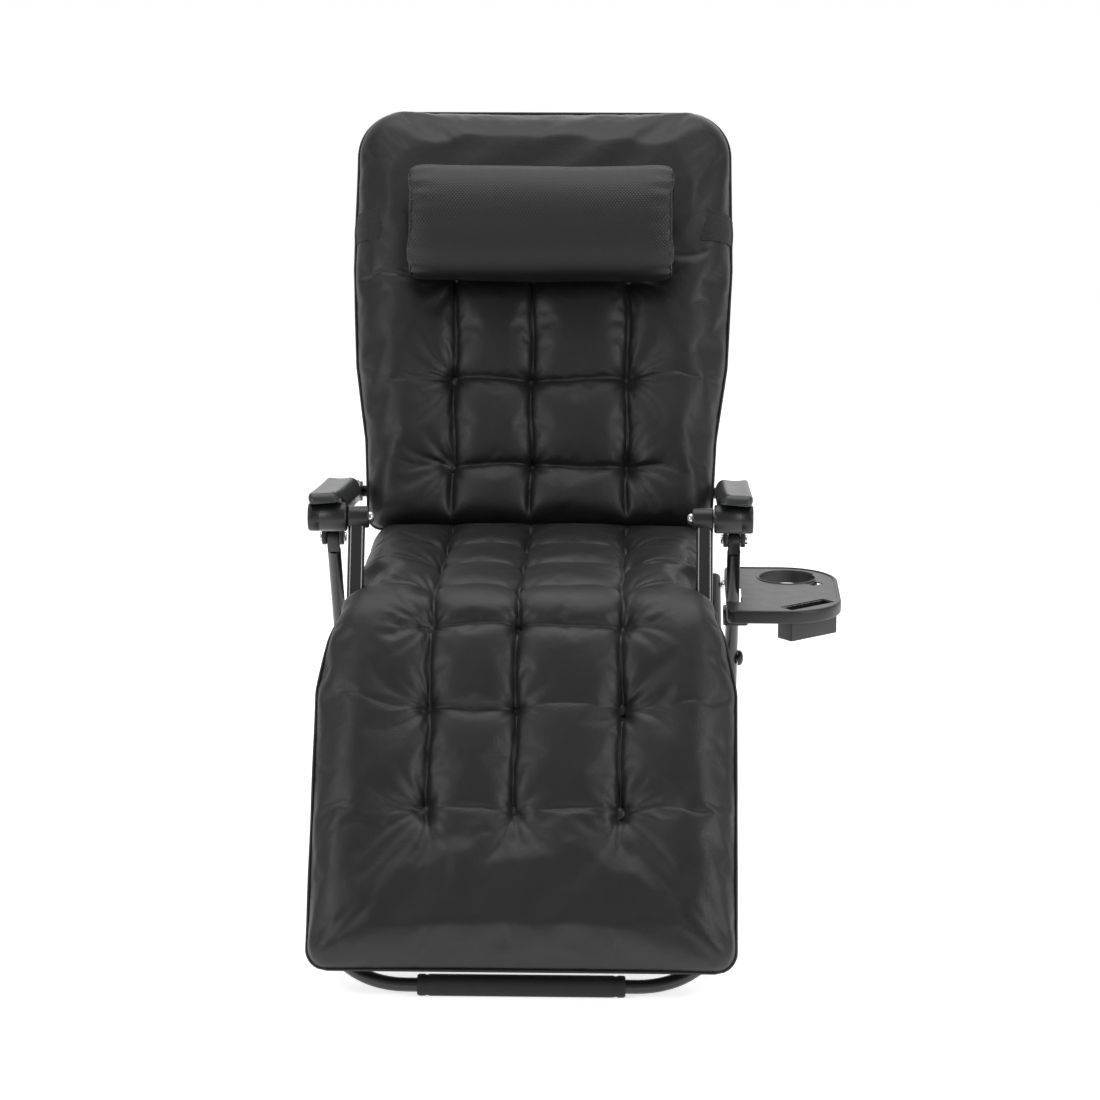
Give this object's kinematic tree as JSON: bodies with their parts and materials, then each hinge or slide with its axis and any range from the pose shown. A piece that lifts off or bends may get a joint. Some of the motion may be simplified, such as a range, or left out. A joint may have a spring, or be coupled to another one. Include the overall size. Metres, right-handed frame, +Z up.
{
  "type": "zero gravity recliner",
  "caption": "Folding-frame zero gravity recliner with tufted padded cushion, head pillow, linked armrests and a clip-on side tray with cup hole and phone slot.",
  "frame": {"origin": "middle of the sole under the front foot sleeve's centre line, moved back to the plane of the armrest front joints, on the floor", "axes": "+Z up, +Y to the chair's rear, +X to the sitter's left, X = 0 on the plane of symmetry of the frame"},
  "size_m": [0.788, 1.1599, 1.1192],
  "materials": {
    "leg_tube_paint": "powder coated black, satin",
    "rail_paint": "powder coated black, satin",
    "strut_paint": "gloss black enamel",
    "foot_rubber": "matte moulded rubber",
    "moulded_plastic": "moulded nylon, satin",
    "armrest_plastic": "moulded ABS, fine grain",
    "tray_plastic": "moulded polypropylene, fine grain",
    "bolt_steel": "nickel plated",
    "sling_fabric": "woven polyester mesh",
    "elastic_lacing": "braided elastic cord",
    "cushion_leather": "soft matte polyurethane leather, padded and tufted",
    "pillow_fabric": "shiny woven mesh over padding",
    "strap_elastic": "woven elastic webbing"
  },
  "bodies": {
    "base": {"front_leg_frame": "leg_tube_paint", "rear_leg_frame": "leg_tube_paint", "front_foot_sleeve": "foot_rubber", "rear_foot_sleeve": "foot_rubber", "cross_bolt_left": "moulded_plastic", "cross_bolt_right": "moulded_plastic", "cross_spacer_left": "moulded_plastic", "cross_spacer_right": "moulded_plastic", "leg_top_plug_left": "moulded_plastic", "leg_top_plug_right": "moulded_plastic", "slide_bolt_left": "bolt_steel", "slide_bolt_right": "bolt_steel", "hip_pin_left": "bolt_steel", "hip_pin_right": "bolt_steel", "hip_spacer_left": "moulded_plastic", "hip_spacer_right": "moulded_plastic"},
    "seat": {"seat_frame": "rail_paint", "seat_sling": "sling_fabric", "seat_cushion": "cushion_leather", "seat_lacing_left": "elastic_lacing", "seat_lacing_right": "elastic_lacing", "leg_lacing_left": "elastic_lacing", "leg_lacing_right": "elastic_lacing", "hip_plate_left": "rail_paint", "hip_plate_right": "rail_paint", "strut_lug_left": "rail_paint", "strut_lug_right": "rail_paint", "strut_foot_bolt_left": "bolt_steel", "strut_foot_bolt_right": "bolt_steel"},
    "back": {"back_frame": "rail_paint", "back_sling": "sling_fabric", "back_cushion": "cushion_leather", "back_lacing_left": "elastic_lacing", "back_lacing_right": "elastic_lacing", "arm_rear_pin_left": "moulded_plastic", "arm_rear_pin_right": "moulded_plastic"},
    "pillow": {"head_pillow": "pillow_fabric", "pillow_strap": "strap_elastic"},
    "side_tray": {"tray": "tray_plastic", "tray_clamp": "moulded_plastic"},
    "arm_left": {"armrest_body_left": "moulded_plastic", "armrest_pad_left": "armrest_plastic", "arm_joint_bolt_left": "bolt_steel"},
    "arm_strut_left": {"strut_left": "strut_paint"},
    "slider_left": {"slide_block_left": "moulded_plastic"},
    "lever_left": {"lock_lever_left": "moulded_plastic"},
    "arm_right": {"armrest_body_right": "moulded_plastic", "armrest_pad_right": "armrest_plastic", "arm_joint_bolt_right": "bolt_steel"},
    "arm_strut_right": {"strut_right": "strut_paint"},
    "slider_right": {"slide_block_right": "moulded_plastic"},
    "lever_right": {"lock_lever_right": "moulded_plastic"}
  },
  "joints": [
    {"name": "seat_tilt", "type": "hinge", "parent": "base", "child": "seat", "pos_m": [0, 0.417, 0.4], "axis": [-1, 0, 0], "range_deg": [0, 9]},
    {"name": "recline", "type": "hinge", "parent": "seat", "child": "back", "pos_m": [0, 0.417, 0.4], "axis": [-1, 0, 0], "range_deg": [0, 36]},
    {"name": "pillow_slide", "type": "slide", "parent": "back", "child": "pillow", "axis": [0, 0.4226, 0.9063], "range_m": [-0.24, 0.02]},
    {"name": "tray_height", "type": "slide", "parent": "base", "child": "side_tray", "axis": [0, -0.5326, 0.8464], "range_m": [-0.04, 0.04]},
    {"name": "arm_swing_left", "type": "hinge", "parent": "back", "child": "arm_left", "pos_m": [0.3, 0.48, 0.534], "axis": [-1, 0, 0], "range_deg": [-36, 0]},
    {"name": "strut_swing_left", "type": "hinge", "parent": "seat", "child": "arm_strut_left", "pos_m": [0.254, -0.063, 0.463], "axis": [-1, 0, 0], "range_deg": [0, 36]},
    {"name": "slider_turn_left", "type": "hinge", "parent": "base", "child": "slider_left", "pos_m": [0.3, 0.12, 0.54], "axis": [-1, 0, 0], "range_deg": [0, 9]},
    {"name": "lock_squeeze_left", "type": "hinge", "parent": "arm_left", "child": "lever_left", "pos_m": [0.3, 0.2283, 0.56905], "axis": [-1, 0, 0], "range_deg": [0, 24], "stiffness_Nm_per_rad": 0.4},
    {"name": "arm_swing_right", "type": "hinge", "parent": "back", "child": "arm_right", "pos_m": [-0.3, 0.48, 0.534], "axis": [-1, 0, 0], "range_deg": [-36, 0]},
    {"name": "strut_swing_right", "type": "hinge", "parent": "seat", "child": "arm_strut_right", "pos_m": [-0.254, -0.063, 0.463], "axis": [-1, 0, 0], "range_deg": [0, 36]},
    {"name": "slider_turn_right", "type": "hinge", "parent": "base", "child": "slider_right", "pos_m": [-0.3, 0.12, 0.54], "axis": [-1, 0, 0], "range_deg": [0, 9]},
    {"name": "lock_squeeze_right", "type": "hinge", "parent": "arm_right", "child": "lever_right", "pos_m": [-0.3, 0.2283, 0.56905], "axis": [-1, 0, 0], "range_deg": [0, 24], "stiffness_Nm_per_rad": 0.4}
  ],
  "couplings": [
    {"joint": "seat_tilt", "follows": "recline", "ratio": 0.25},
    {"joint": "arm_swing_left", "follows": "recline", "ratio": -1},
    {"joint": "strut_swing_left", "follows": "recline", "ratio": 1},
    {"joint": "slider_turn_left", "follows": "recline", "ratio": 0.25},
    {"joint": "arm_swing_right", "follows": "recline", "ratio": -1},
    {"joint": "strut_swing_right", "follows": "recline", "ratio": 1},
    {"joint": "slider_turn_right", "follows": "recline", "ratio": 0.25}
  ]
}
